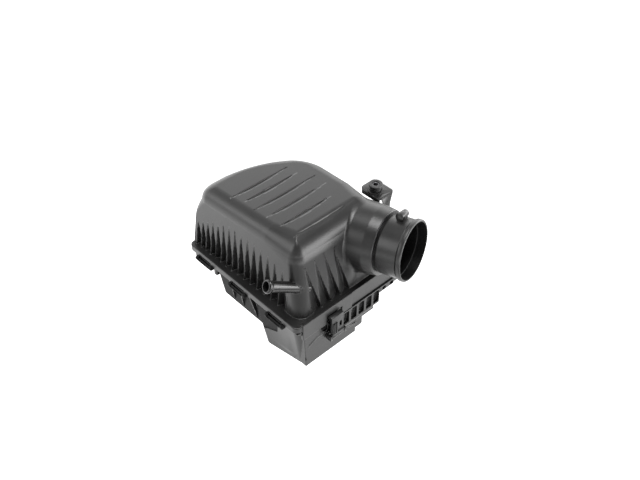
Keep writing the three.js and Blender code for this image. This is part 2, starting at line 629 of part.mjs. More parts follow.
// the bush: flange, groove for the bracket's eye, flange
const inner = MOUNT.sleeve + GAP;
const neck = MOUNT.eye - GAP;
const bushLow = plateLow - 3;
const bossTop = MOUNT.plate + BRACKET.boss - bushLow + GAP;
const bushTop = MOUNT.top - bushLow;
add('mount_bush', turned([
  [inner, 0],
  [MOUNT.bush, 0],
  [MOUNT.bush, 2.7],
  [neck, 2.7],
  [neck, bossTop + 5],
  [MOUNT.bush, bossTop + 6.5],
  [MOUNT.bush, bushTop - 0.8],
  [MOUNT.bush - 1, bushTop],
  [inner, bushTop],
  [inner, 0],
], v3(MOUNT.x, MOUNT.y, bushLow), v3(0, 0, 1), 32), 'rubber');
const SLEEVE_LENGTH = 16;
const SLEEVE_SUNK = 1.2;       // the rubber stands above the sleeve until the screw draws it down
add('mount_sleeve', turned([
  [MOUNT.bolt, 0],
  [MOUNT.sleeve, 0],
  [MOUNT.sleeve, SLEEVE_LENGTH],
  [MOUNT.bolt, SLEEVE_LENGTH],
  [MOUNT.bolt, 0],
], v3(MOUNT.x, MOUNT.y, MOUNT.top - SLEEVE_SUNK - SLEEVE_LENGTH), v3(0, 0, 1), 28), 'steel');

// ---- locating pegs and their rubber isolators
const PEG = { stem: 4, post: 8, fin: 14, finHalf: 1.5, inCup: 1.5, shoulder: 8.3, cup: 9, cupFoot: 1.2 };
PEGS.forEach(({ name, x, y, top }) => {
  const pegTop = top - GAP;
  const long = top === DECK_Z;
  const shoulder = long ? FLOOR_Z + PEG.shoulder : pegTop;
  const stem = rod(PEG.stem, v3(x, y, FLOOR_Z + PEG.inCup), v3(x, y, long ? shoulder + 1 : pegTop), 20);
  const post = () => join(
    stem,
    rod(PEG.post, v3(x, y, shoulder), v3(x, y, pegTop), 20),
    box(x - PEG.fin, x + PEG.fin, y - PEG.finHalf, y + PEG.finHalf, shoulder + 4, pegTop),
    box(x - PEG.finHalf, x + PEG.finHalf, y - PEG.fin, y + PEG.fin, shoulder + 4, pegTop),
  );
  add(`peg_${name}`, long ? post() : stem, 'plastic');
  const height = shoulder - GAP - FLOOR_Z;
  const bore = PEG.stem + GAP;
  add(`isolator_${name}`, turned([
    [0, 0], [PEG.cup, 0], [PEG.cup + 1, 1], [PEG.cup + 1, height - 1], [PEG.cup, height], [bore, height],
    [bore, PEG.cupFoot], [0, PEG.cupFoot],
  ], v3(x, y, FLOOR_Z), v3(0, 0, 1), 28), 'rubber');
});

// ---- filter element: pleated paper inside a moulded frame that is also the seal
// the folds stand up into the cover, clear of its slanted far corner, with a flat fold at each end
const MEDIA = { x0: -163, x1: -23, y0: 22, y1: 146, high: 26, low: -9, folds: 20, thick: 3.3 };
const MEDIA_GAP = 0.4;
const sealOuter = roundRect(-201.5, -8.5, 8.5, 169.5, 6);
const sealSkirt = roundRect(-191.4, -18.6, 18.6, 159.4, 9);
const sealMouth = roundRect(
  MEDIA.x0 - MEDIA_GAP, MEDIA.x1 + MEDIA_GAP, MEDIA.y0 - MEDIA_GAP, MEDIA.y1 + MEDIA_GAP, 0.5);
add('filter_seal', cut(
  join(slab(sealOuter, -3.5, -GAP), slab(sealSkirt, -10, -3)), slab(sealMouth, -20, 5)), 'rubber');
const pitch = (MEDIA.x1 - MEDIA.x0) / MEDIA.folds;
const folded = Array.from({ length: MEDIA.folds * 2 + 1 }, (_, i) => (
  new THREE.Vector2(MEDIA.x0 + i * pitch / 2, i % 2 === 0 ? MEDIA.low + MEDIA.thick : MEDIA.high)));
const under = folded.map((p) => new THREE.Vector2(p.x, p.y - MEDIA.thick)).reverse();
add('filter_media', barY([...folded, ...under], MEDIA.y0, MEDIA.y1), 'paper');

export default root;
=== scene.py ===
"""Air filter housing: satin black mouldings, rubber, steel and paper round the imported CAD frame."""

import itertools
import json
import math

import bpy
import numpy as np
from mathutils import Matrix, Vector


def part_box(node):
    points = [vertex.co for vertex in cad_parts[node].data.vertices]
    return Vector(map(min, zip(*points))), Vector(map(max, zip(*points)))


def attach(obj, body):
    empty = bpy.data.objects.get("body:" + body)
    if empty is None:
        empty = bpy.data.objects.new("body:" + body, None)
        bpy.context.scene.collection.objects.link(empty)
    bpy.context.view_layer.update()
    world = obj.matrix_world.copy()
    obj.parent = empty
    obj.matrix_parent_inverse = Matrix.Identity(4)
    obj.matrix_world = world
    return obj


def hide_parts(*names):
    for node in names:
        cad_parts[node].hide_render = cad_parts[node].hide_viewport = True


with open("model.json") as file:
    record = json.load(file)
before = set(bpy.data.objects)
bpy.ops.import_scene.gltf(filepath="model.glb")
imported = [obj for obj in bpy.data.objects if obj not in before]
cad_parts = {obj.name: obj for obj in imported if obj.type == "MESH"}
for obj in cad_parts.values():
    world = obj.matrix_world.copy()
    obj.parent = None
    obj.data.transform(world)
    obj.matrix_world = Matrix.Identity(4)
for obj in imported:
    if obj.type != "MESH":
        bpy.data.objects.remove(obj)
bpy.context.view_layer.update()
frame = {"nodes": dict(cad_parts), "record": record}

# ---- part frame in millimetres: x = 0, y = 0 is the near flange corner and z = 0 the flange plane
MM = 0.001
FLANGE_X, FLANGE_Y, SKIRT_Z = 212.0, 178.0, -20.0
FRONT_EDGE = -1.5
rim_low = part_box("cover_rim")[0]
ORIGIN = np.array([-FLANGE_X, FRONT_EDGE, SKIRT_Z]) - np.array(rim_low) / MM


def row(p):
    """Point of the part frame, in millimetres, as a point of the row frame, in metres."""
    return Vector((np.array(p, float) - ORIGIN) * MM)


# ---- camera, light and stage
CAMERA_PLACE = (497.4, -427.7, 735.1)
VIEW_AZIMUTH, VIEW_ELEVATION = 46.8, 41.9
SENSOR, LENS = 36.0, 46.07
# brightness of the surroundings low down behind the housing, overhead, and low down in front of it
HORIZON, SKY_TOP, SKY_NEAR = 3.0, 0.26, 0.35
# heights between which they fade, as the up part of a direction, and the same for the part that points away
SKY_FADE, NEAR_FADE = (0.42, 0.77), (-0.5, 0.4)
# name, place, the point it faces, size and power of each soft box, in metres and watts
SOFT_BOXES = [
    ("top_box", (0, 0.1, 2.6), (0, 0, 0), (1.3, 1.3), 82),
    ("right_box", (2.2, 1.4, 0.6), (0, 0, 0.1), (2.2, 1.1), 74),
    ("left_box", (-1.05, -1.9, 1.35), (0, 0, 0.1), (1.7, 1.3), 24)]
FLOOR_RADIUS, FLOOR_SIDES = 9.0, 64
# the floor's glow depends on the distance, in metres, from the rectangle under the flange
FLOOR_BOX = ((-0.133, 0.079), (-0.095, 0.083))
FLOOR_GLOW = [(0.0, 1.8), (0.06, 2.2), (0.11, 2.45), (0.19, 1.05)]
# direction, distances between which it grows, and added glow of the brighter parts of the floor
FAR_GLOWS = [((0.857, 0.514, 0), 0.40, 0.75, 7.0), ((-0.63, -0.78, 0), 0.26, 0.36, 2.0)]


def make_camera():
    """Camera above the near corner, between the hinge side and the duct side."""
    azimuth, elevation = math.radians(VIEW_AZIMUTH), math.radians(VIEW_ELEVATION)
    back = Vector((math.sin(azimuth) * math.cos(elevation), -math.cos(azimuth) * math.cos(elevation),
                   math.sin(elevation)))
    data = bpy.data.cameras.new("camera")
    data.sensor_width, data.lens = SENSOR, LENS
    data.clip_start, data.clip_end = 0.01, 20
    camera = bpy.data.objects.new("camera", data)
    bpy.context.scene.collection.objects.link(camera)
    camera.location = row(CAMERA_PLACE)
    camera.rotation_mode = "QUATERNION"
    camera.rotation_quaternion = (-back).to_track_quat("-Z", "Y")
    bpy.context.scene.camera = camera


def soft_box(name, place, target, size, power):
    """Rectangular area light that faces its target."""
    data = bpy.data.lights.new(name, "AREA")
    data.shape = "RECTANGLE"
    data.size, data.size_y = size
    data.energy = power
    light = bpy.data.objects.new(name, data)
    bpy.context.scene.collection.objects.link(light)
    light.location = place
    light.rotation_mode = "QUATERNION"
    light.rotation_quaternion = (Vector(target) - Vector(place)).to_track_quat("-Z", "Y")


def link_mesh(name, points, faces):
    """Object made of points and faces, linked into the scene."""
    mesh = bpy.data.meshes.new(name)
    mesh.from_pydata([tuple(p) for p in points], [], [tuple(f) for f in faces])
    mesh.validate()
    obj = bpy.data.objects.new(name, mesh)
    bpy.context.scene.collection.objects.link(obj)
    return obj


def make_stage():
    """Round white floor that glows, so that it shows no shadow; it glows most round the housing."""
    turns = [2 * math.pi * k / FLOOR_SIDES for k in range(FLOOR_SIDES)]
    outline = [(FLOOR_RADIUS * math.cos(a), FLOOR_RADIUS * math.sin(a), 0) for a in turns]
    floor = link_mesh("floor", outline, [range(FLOOR_SIDES)])
    material = bpy.data.materials.new("floor_paint")
    material.use_nodes = True
    nodes, links = material.node_tree.nodes, material.node_tree.links
    shader = nodes["Principled BSDF"]
    shader.inputs["Base Color"].default_value = (0, 0, 0, 1)
    shader.inputs["Specular IOR Level"].default_value = 0
    shader.inputs["Emission Color"].default_value = (1, 1, 1, 1)
    place = nodes.new("ShaderNodeTexCoord").outputs["Object"]
    total = near_glow(nodes, links, place)
    for direction, start, end, glow in FAR_GLOWS:
        far = part_along(nodes, links, place, direction, (start, end), (0, glow))
        total = calculate(nodes, links, "ADD", total, far.outputs["Result"])
    links.new(total, shader.inputs["Emission Strength"])
    floor.data.materials.append(material)


def near_glow(nodes, links, place):
    """Glow by the distance from the rectangle under the flange."""
    split = nodes.new("ShaderNodeSeparateXYZ")
    join = nodes.new("ShaderNodeCombineXYZ")
    links.new(place, split.inputs[0])
    for axis, (start, end) in zip("XY", FLOOR_BOX):
        past = split.outputs[axis]
        for step, value in [("SUBTRACT", (start + end) / 2), ("ABSOLUTE", 0),
                            ("SUBTRACT", (end - start) / 2), ("MAXIMUM", 0)]:
            past = calculate(nodes, links, step, past, value)
        links.new(past, join.inputs[axis])
    distance = nodes.new("ShaderNodeVectorMath")
    distance.operation = "LENGTH"
    links.new(join.outputs[0], distance.inputs[0])
    span, peak = FLOOR_GLOW[-1][0], max(glow for _, glow in FLOOR_GLOW)
    ramp = nodes.new("ShaderNodeValToRGB")
    stops = ramp.color_ramp.elements
    for i, (where, glow) in enumerate(FLOOR_GLOW):
        stop = stops[i] if i < 2 else stops.new(where / span)
        stop.position = where / span
        stop.color = (glow / peak, glow / peak, glow / peak, 1)
    share = calculate(nodes, links, "DIVIDE", distance.outputs["Value"], span)
    links.new(share, ramp.inputs["Fac"])
    return calculate(nodes, links, "MULTIPLY", ramp.outputs["Color"], peak)


def part_along(nodes, links, place, direction, span, result):
    """Map Range node that turns the part of place along a direction, within span, into result."""
    reach = nodes.new("ShaderNodeVectorMath")
    reach.operation = "DOT_PRODUCT"
    reach.inputs[1].default_value = direction
    links.new(place, reach.inputs[0])
    scaled = nodes.new("ShaderNodeMapRange")
    scaled.inputs["From Min"].default_value, scaled.inputs["From Max"].default_value = span
    scaled.inputs["To Min"].default_value, scaled.inputs["To Max"].default_value = result
    links.new(reach.outputs["Value"], scaled.inputs["Value"])
    return scaled


def calculate(nodes, links, operation, first, second):
    """Output of a Math node; each operand is a socket or a number."""
    node = nodes.new("ShaderNodeMath")
    node.operation = operation
    for socket, operand in zip(node.inputs, (first, second)):
        if isinstance(operand, (int, float)):
            socket.default_value = operand
        else:
            links.new(operand, socket)
    return node.outputs[0]


def make_light():
    """White surroundings, brightest low down behind the housing, and the soft boxes."""
    world = bpy.data.worlds.new("studio")
    world.use_nodes = True
    nodes, links = world.node_tree.nodes, world.node_tree.links
    background = nodes["Background"]
    place = nodes.new("ShaderNodeTexCoord").outputs["Generated"]
    split = nodes.new("ShaderNodeSeparateXYZ")
    links.new(place, split.inputs[0])
    ramp = nodes.new("ShaderNodeValToRGB")
    ramp.color_ramp.interpolation = "EASE"
    for stop, where, glow in zip(ramp.color_ramp.elements, SKY_FADE, (1, SKY_TOP)):
        stop.color = (glow, glow, glow, 1)
        stop.position = where
    links.new(split.outputs["Z"], ramp.inputs["Fac"])
    links.new(ramp.outputs["Color"], background.inputs["Color"])
    azimuth = math.radians(VIEW_AZIMUTH)
    away = (-math.sin(azimuth), math.cos(azimuth), 0)
    behind = part_along(nodes, links, place, away, NEAR_FADE, (HORIZON * SKY_NEAR, HORIZON))
    behind.interpolation_type = "SMOOTHSTEP"
    links.new(behind.outputs["Result"], background.inputs["Strength"])
    bpy.context.scene.world = world
    bpy.context.scene.view_settings.view_transform = "Standard"
    for box in SOFT_BOXES:
        soft_box(*box)


# ---- materials
GRAIN_DEPTH = 0.08 * MM


def surfaced(name, colour, roughness, spread=0.035, tint=0.17, cloud=26, grain=2600, bump=0.25, ior=1.4,
             metallic=0.0, stretch=(1, 1, 1)):
    """Material with slow clouds in its colour and gloss, and a fine grain that may run in streaks."""
    material = bpy.data.materials.new(name)
    material.use_nodes = True
    nodes, links = material.node_tree.nodes, material.node_tree.links
    shader = nodes["Principled BSDF"]
    shader.inputs["IOR"].default_value = ior
    shader.inputs["Metallic"].default_value = metallic
    place = nodes.new("ShaderNodeTexCoord")
    clouds = nodes.new("ShaderNodeTexNoise")
    clouds.inputs["Scale"].default_value = cloud
    clouds.inputs["Detail"].default_value = 5
    links.new(place.outputs["Object"], clouds.inputs["Vector"])
    gloss = nodes.new("ShaderNodeMapRange")
    gloss.inputs["From Min"].default_value, gloss.inputs["From Max"].default_value = 0.3, 0.7
    gloss.inputs["To Min"].default_value = roughness - spread
    gloss.inputs["To Max"].default_value = roughness + spread
    links.new(clouds.outputs["Fac"], gloss.inputs["Value"])
    links.new(gloss.outputs["Result"], shader.inputs["Roughness"])
    mix = nodes.new("ShaderNodeMix")
    mix.data_type = "RGBA"
    for socket, share in [(mix.inputs[6], 1 - tint), (mix.inputs[7], 1 + tint)]:
        socket.default_value = (*[c * share for c in colour], 1)
    links.new(clouds.outputs["Fac"], mix.inputs[0])
    links.new(mix.outputs[2], shader.inputs["Base Color"])
    streak = nodes.new("ShaderNodeMapping")
    streak.inputs["Scale"].default_value = stretch
    links.new(place.outputs["Object"], streak.inputs["Vector"])
    fine = nodes.new("ShaderNodeTexNoise")
    fine.inputs["Scale"].default_value = grain
    fine.inputs["Detail"].default_value = 2
    links.new(streak.outputs["Vector"], fine.inputs["Vector"])
    relief = nodes.new("ShaderNodeBump")
    relief.inputs["Strength"].default_value = bump
    relief.inputs["Distance"].default_value = GRAIN_DEPTH
    links.new(fine.outputs["Fac"], relief.inputs["Height"])
    links.new(relief.outputs["Normal"], shader.inputs["Normal"])
    return material


make_camera()
MATERIALS = {
    "case_plastic": surfaced("case_plastic", (0.0062, 0.0061, 0.0060), 0.33),
    "latch_plastic": surfaced("latch_plastic", (0.008, 0.008, 0.008), 0.38),
    # painted shade: a darker, less glossy plastic put where shade falls, inside the tubes, on the hinges
    # and on the deck's recessed walls
    "painted_shade_plastic": surfaced("painted_shade_plastic", (0.002, 0.002, 0.002), 0.5, ior=1.2),
    "gloss_plastic": surfaced("gloss_plastic", (0.0062, 0.0061, 0.0060), 0.2, spread=0.02, bump=0.1),
    "rubber": surfaced("rubber", (0.012, 0.012, 0.012), 0.6, cloud=60, grain=1400, bump=0.5, ior=1.5),
    "seal": surfaced("seal", (0.02, 0.02, 0.021), 0.55, cloud=40, grain=900, bump=0.4),
    "steel": surfaced("steel", (0.13, 0.13, 0.135), 0.4, metallic=1.0, bump=0.2, stretch=(1, 1, 0.08)),
    "filter_paper": surfaced("filter_paper", (0.62, 0.53, 0.33), 0.85, tint=0.1, cloud=240, grain=1600,
                             bump=0.9),
}
make_stage()
make_light()


# ---- signed distance shapes, in part millimetres: below 0 is material
def ramp(value, start, end):
    """0 at start, 1 at end and straight between them."""
    return np.clip((value - start) / (end - start), 0, 1)


def fillet(a, b, radius):
    """Union with a round fillet in the corner between a and b."""
    u, v = np.maximum(radius - a, 0), np.maximum(radius - b, 0)
    return np.maximum(radius, np.minimum(a, b)) - np.sqrt(u * u + v * v)


def rounded(a, b, radius):
    """Intersection whose outer edge is rounded."""
    u, v = np.maximum(radius + a, 0), np.maximum(radius + b, 0)
    return np.minimum(-radius, np.maximum(a, b)) + np.sqrt(u * u + v * v)


def block(x, y, z, low, high, radius):
    """Box with rounded edges."""
    centre = [(a + b) / 2 for a, b in zip(low, high)]
    reach = [(b - a) / 2 - radius for a, b in zip(low, high)]
    q = [np.abs(p - c) - h for p, c, h in zip((x, y, z), centre, reach)]
    outside = np.sqrt(sum(np.maximum(e, 0) ** 2 for e in q))
    return outside + np.minimum(np.maximum(np.maximum(q[0], q[1]), q[2]), 0) - radius


def plan_box(x, y, x0, x1, y0, y1, radius):
    """Rounded rectangle in plan."""
    qx = np.abs(x - (x0 + x1) / 2) - (x1 - x0) / 2 + radius
    qy = np.abs(y - (y0 + y1) / 2) - (y1 - y0) / 2 + radius
    outside = np.sqrt(np.maximum(qx, 0) ** 2 + np.maximum(qy, 0) ** 2)
    return outside + np.minimum(np.maximum(qx, qy), 0) - radius


def side_of(x, y, ax, ay, bx, by):
    """Distance outside the line from a to b of an outline that runs anticlockwise."""
    ex, ey = bx - ax, by - ay
    return ((x - ax) * ey - (y - ay) * ex) / np.sqrt(ex * ex + ey * ey)


def along(axis_start, axis, x, y, z):
    """Distance along an axis from its start, and distance from the axis."""
    px, py, pz = x - axis_start[0], y - axis_start[1], z - axis_start[2]
    t = px * axis[0] + py * axis[1] + pz * axis[2]
    rr = px * px + py * py + pz * pz - t * t
    return t, np.sqrt(np.maximum(rr, 0))


# ---- closed surface of a distance shape
TRIANGLE_LIMIT = 180000
# rounds in which the vertices settle onto the surface, and the most of a cell that one may move in each
SETTLE_ROUNDS, MOST_MOVE = 3, 0.45


def spaced(*knots):
    """Grid lines from (start, step) pairs; the last pair gives the end."""
    lines = []
    for (start, step), (end, _) in zip(knots, knots[1:]):
        count = max(1, round((end - start) / step))
        lines.append(np.linspace(start, end, count, endpoint=False))
    return np.append(np.concatenate(lines), knots[-1][0]).astype(np.float32)


def slope_of(shape, p, reach=0.05):
    """Value and slope of a distance shape at points."""
    value = shape(p[:, 0], p[:, 1], p[:, 2])
    slope = np.empty_like(p)
    for i in range(3):
        step = np.zeros(3)
        step[i] = reach
        a, b = p + step, p - step
        slope[:, i] = (shape(a[:, 0], a[:, 1], a[:, 2]) - shape(b[:, 0], b[:, 1], b[:, 2])) / (2 * reach)
    return value, slope


def mixed_cells(inside):
    """Places of the grid's cells whose eight corners are not all on one side of the surface."""
    cells = [n - 1 for n in inside.shape]
    some, every = np.zeros(cells, bool), np.ones(cells, bool)
    for i, j, k in itertools.product((0, 1), repeat=3):
        part = inside[i:i + cells[0], j:j + cells[1], k:k + cells[2]]
        some |= part
        every &= part
    return np.argwhere(some & ~every)


def cell_points(value, spots):
    """For each cell, in steps of the grid, the mean of the places where its edges cross the surface."""
    total, count = np.zeros((len(spots), 3)), np.zeros(len(spots))
    for axis in range(3):
        for a, b in itertools.product((0, 1), repeat=2):
            start = np.insert(np.array([a, b]), axis, 0)
            end = start.copy()
            end[axis] = 1
            v0 = value[tuple((spots + start).T)].astype(float)
            v1 = value[tuple((spots + end).T)].astype(float)
            cross = (v0 < 0) != (v1 < 0)
            share = np.where(cross, v0 / np.where(cross, v0 - v1, 1), 0)
            point = spots + start + share[:, None] * (end - start)
            total += np.where(cross[:, None], point, 0)
            count += cross
    return total / count[:, None]


def cell_faces(inside, spots):
    """A quad for each edge of the grid that crosses the surface, between the four cells round it."""
    sizes = inside.shape
    number = np.full([n - 1 for n in sizes], -1, np.int32)
    number[tuple(spots.T)] = np.arange(len(spots))
    quads = []
    for axis in range(3):
        first = [slice(1, n - 1) for n in sizes]
        first[axis] = slice(0, sizes[axis] - 1)
        second = list(first)
        second[axis] = slice(1, sizes[axis])
        a, b = inside[tuple(first)], inside[tuple(second)]
        spot = np.argwhere(a != b)
        leaves = a[tuple(spot.T)]
        spot = spot + np.array([s.start for s in first])
        du, dv = np.roll(np.eye(3, dtype=int)[0], axis + 1), np.roll(np.eye(3, dtype=int)[0], axis + 2)
        ring = np.stack([number[tuple((spot - d).T)] for d in (0 * du, du, du + dv, dv)], 1)
        ring[~leaves] = ring[~leaves][:, ::-1]
        quads.append(ring)
    return np.concatenate(quads)


def settled(shape, vertices, limit):
    """Vertices moved along the slope onto the surface itself, each by no more than limit at a time."""
    for _ in range(SETTLE_ROUNDS):
        error, slope = slope_of(shape, vertices)
        move = slope * (error / np.maximum((slope ** 2).sum(1), 1e-6))[:, None]
        length = np.sqrt((move ** 2).sum(1))
        vertices = vertices - move * np.minimum(1, limit / np.maximum(length, 1e-9))[:, None]
    return vertices


def surface(shape, xs, ys, zs):
    """Vertices and quads of the zero surface of shape on a grid."""
    sizes = [len(a) for a in (xs, ys, zs)]
    value = np.broadcast_to(
        shape(xs[:, None, None], ys[None, :, None], zs[None, None, :]), sizes).astype(np.float32)
    inside = value < 0
    spots = mixed_cells(inside)
    place = cell_points(value, spots).T
    vertices = np.stack([np.interp(p, np.arange(len(a)), a) for p, a in zip(place, (xs, ys, zs))], 1)
    limit = MOST_MOVE * float(np.median(np.diff(xs)))
    return settled(shape, vertices, limit), cell_faces(inside, spots)


def quad_mesh(name, vertices, quads):
    """Mesh of part vertices and four-cornered faces."""
    mesh = bpy.data.meshes.new(name)
    mesh.vertices.add(len(vertices))
    mesh.vertices.foreach_set("co", ((vertices - ORIGIN) * MM).astype(np.float32).ravel())
    mesh.loops.add(quads.size)
    mesh.loops.foreach_set("vertex_index", quads.astype(np.int32).ravel())
    mesh.polygons.add(len(quads))
    mesh.polygons.foreach_set("loop_start", np.arange(0, quads.size, 4, dtype=np.int32))
    mesh.update(calc_edges=True)
    mesh.validate()
    return mesh


def thin_out(obj, share):
    """Leaves only a share of the object's triangles."""
    thin = obj.modifiers.new("thin", "DECIMATE")
    thin.ratio = share
    graph = bpy.context.evaluated_depsgraph_get()
    dense = obj.data
    light = bpy.data.meshes.new_from_object(obj.evaluated_get(graph))
    obj.modifiers.clear()
    obj.data = light
    bpy.data.meshes.remove(dense)


def moulding(name, shape, xs, ys, zs, slot, body, nodes):
    """Piece of the housing from a distance shape, shaded with the shape's own slopes."""
    vertices, quads = surface(shape, xs, ys, zs)
    obj = bpy.data.objects.new(name, quad_mesh(name, vertices, quads))
    bpy.context.scene.collection.objects.link(obj)
    share = TRIANGLE_LIMIT / (2 * len(quads))
    if share < 1:
        thin_out(obj, share)
    mesh = obj.data
    mesh.polygons.foreach_set("use_smooth", [True] * len(mesh.polygons))
    co = np.zeros(len(mesh.vertices) * 3, np.float32)
    mesh.vertices.foreach_get("co", co)
    _, slope = slope_of(shape, co.reshape(-1, 3).astype(float) / MM + ORIGIN)
    slope /= np.maximum(np.linalg.norm(slope, axis=1), 1e-6)[:, None]
    mesh.normals_split_custom_set_from_vertices([tuple(n) for n in slope])
    finish_piece(obj, slot, body, nodes)
    return obj


def paint_shade(obj, chosen):
    """Paints shade on the chosen faces with the darker, less glossy plastic: chosen(x, y, z) is true at
    their middles.
    """
    mesh = obj.data
    mesh.materials.append(MATERIALS["painted_shade_plastic"])
    centre = np.zeros(len(mesh.polygons) * 3, np.float32)
    mesh.polygons.foreach_get("center", centre)
    x, y, z = (centre.reshape(-1, 3) / MM + ORIGIN).T
    mesh.polygons.foreach_set("material_index", chosen(x, y, z).astype(np.int32))


def finish_piece(obj, slot, body, nodes):
    """Gives a piece its material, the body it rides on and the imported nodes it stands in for."""
    obj.data.materials.clear()
    obj.data.materials.append(MATERIALS[slot])
    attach(obj, body)
    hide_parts(*nodes)


# ---- cover: dome, outlet bell, flange and skirt in one moulding
WALL, PLATE, FOOT = 3.0, 4.0, 4.3
ROOF_HIGH, ROOF_SLOPE, ROOF_ROUND, DUCT_SIDE_ROUND = 106.5, 12.5 / 178, 20.0, 30.0
# corners of the dome, anticlockwise from the near left one: x, y and the round of the corner
DOME_BASE = [(-210.3, 5, 3), (-5, 11, 14), (-5, 171, 14), (-152, 171, 30), (-210.3, 100, 30)]
DOME_TOP = [(-208, 16, 20), (-19, 19, 16), (-20, 162, 26), (-157, 167.5, 30), (-208, 100, 34)]
# x, first y and last y of each roof groove; then their depth and the widths of their two sides
GROOVES = [
    (-153.5, 31, 127), (-135, 36, 132), (-113, 36, 138), (-91, 35, 138), (-66.5, 34, 127), (-41, 33, 141)]
GROOVE_DEPTH, GROOVE_STEEP, GROOVE_LONG = 1.7, 0.8, 5.5
FRONT_PLEAT_DEPTH, SIDE_PLEAT_DEPTH = 8.0, 6.0
DUCT_END, DUCT_YAW, DUCT_PITCH = np.array([42.9, 155.6, 61.2]), math.radians(15.7), math.radians(5)
DUCT_AXIS = np.array([math.cos(DUCT_PITCH) * math.cos(DUCT_YAW), math.cos(DUCT_PITCH) * math.sin(DUCT_YAW),
                      math.sin(DUCT_PITCH)])
# radius of the bell at each distance along the duct's axis, and the bore that runs back through it
BELL_T, BELL_R = [-110, -75, -50, -36], [46, 45.6, 44.4, 42.2]
BELL_FILLET, BELL_BORE, BORE_BACK = 2.5, 36.5, 60
HINGES, HINGE_HALF = [-178, -109.5, -37], 12
NIPPLE_ROOT, NIPPLE_TIP = np.array([-20.6, 23.8, 43.4]), np.array([-30.4, -17.5, 65.8])
NIPPLE_LENGTH = float(np.linalg.norm(NIPPLE_TIP - NIPPLE_ROOT))
NIPPLE_AXIS = (NIPPLE_TIP - NIPPLE_ROOT) / NIPPLE_LENGTH
BOSS_RADIUS, BOSS_HOLE = 6.9, 6.0
FLANGE_ROUND = 8.0


def roof_height(x):
    """Height of the roof, which falls towards the left."""
    return ROOF_HIGH + (x + 20) * ROOF_SLOPE


def front_pleats(x, z, smooth=False):
    """Depth of the louvred pleats of the hinge side: a steep step, then a ramp up to the next crest."""
    first, pitch, growth, lead = -191.8, 9.05, 0.15, 20

    def pleats_within(distance):
        return (np.sqrt(pitch ** 2 + 4 * growth * np.maximum(distance, 0)) - pitch) / (2 * growth)

    s = (pleats_within(x - first + lead) - pleats_within(lead)) % 1.0
    step, full = 0.26, 24.0
    tip = 71.5 - 0.0028 * (x + 100) ** 2
    grown = ramp(z, tip, full) * 0.97
    shape = np.minimum((s + step) % 1.0 / step, (1 - (s + step) % 1.0) / (1 - step))
    fade = ramp(x, -208, -202) * ramp(x, -29, -34)
    return FRONT_PLEAT_DEPTH * fade * (grown if smooth else np.maximum(shape - 1 + grown, 0))


def side_pleats(y, z, smooth=False):
    """Depth of the four leaning pleats of the duct side, steep towards the duct."""
    first, pitch, lean, lean_from = 35.3, 15.9, 0.206, 64
    s = (y - first - lean * (lean_from - z)) / pitch
    inside = ramp(s, -1, -0.75) * (s < 3.001)
    s = s % 1.0
    step, tip, full = 0.16, 77.0, 12.0
    grown = ramp(z, tip, full) * 0.97
    shape = np.minimum(s / (1 - step), (1 - s) / step)
    return SIDE_PLEAT_DEPTH * inside * (grown if smooth else np.maximum(shape - 1 + grown, 0))


def roof_grooves(x, y, smooth=False):
    """Depth of the lens shaped roof grooves: a steep side, then a long shallow one."""
    if smooth:
        return 1.2
    depth = 0
    for gx, y0, y1 in GROOVES:
        swell = np.sin(math.pi * ramp(y, y0, y1) ** 0.8)
        shape = np.minimum(1 + (x - gx) / GROOVE_STEEP, 1 - (x - gx) / GROOVE_LONG)
        depth = np.maximum(depth, GROOVE_DEPTH * np.maximum(shape - 1 + swell, 0) * (swell > 0))
    return depth


def dome(x, y, z, smooth=False):
    """Five-sided dome; the smooth one, for the inside, keeps clear of the grooves and pleats."""
    level = ramp(z, FOOT, FOOT + roof_height(x) - ROOF_ROUND - PLATE)
    corner = [[b + (t - b) * level for b, t in zip(base, top)] for base, top in zip(DOME_BASE, DOME_TOP)]
    sides = [side_of(x, y, *corner[i][:2], *corner[(i + 1) % 5][:2]) for i in range(5)]
    sides[0] = sides[0] + front_pleats(x, z, smooth)
    sides[1] = sides[1] + side_pleats(y, z, smooth)
    near = rounded(sides[0], sides[1], corner[1][2])
    near = rounded(near, sides[2], corner[2][2])
    near = rounded(near, sides[3], corner[3][2])
    # the near left corner stays sharp until it runs into the roof
    sharp, soft = DOME_BASE[0][2], DOME_TOP[0][2]
    near_round = sharp + (soft - sharp) * ramp(level, 0.6, 1) ** 2
    left_round = near_round + (corner[4][2] - near_round) * ramp(y, 25, 65)
    wall = rounded(near, sides[4], left_round)
    roof = (z - roof_height(x) + roof_grooves(x, y, smooth)) * math.cos(math.atan(ROOF_SLOPE))
    return rounded(wall, roof, ROOF_ROUND + (DUCT_SIDE_ROUND - ROOF_ROUND) * ramp(x, -75, -35))


def bell(x, y, z):
    """Wide root of the outlet, from inside the dome to the tube's shoulder."""
    t, r = along(DUCT_END, DUCT_AXIS, x, y, z)
    return np.maximum(rounded(r - np.interp(t, BELL_T, BELL_R), t - BELL_T[-1], 1.5), -t - 84)


def blister(x, y, z):
    """Low bulge of the duct side below the bell."""
    q = np.sqrt(((x + 13) / 7) ** 2 + ((y - 101) / 10) ** 2 + ((z - 30) / 22) ** 2)
    return (q - 1) * 7


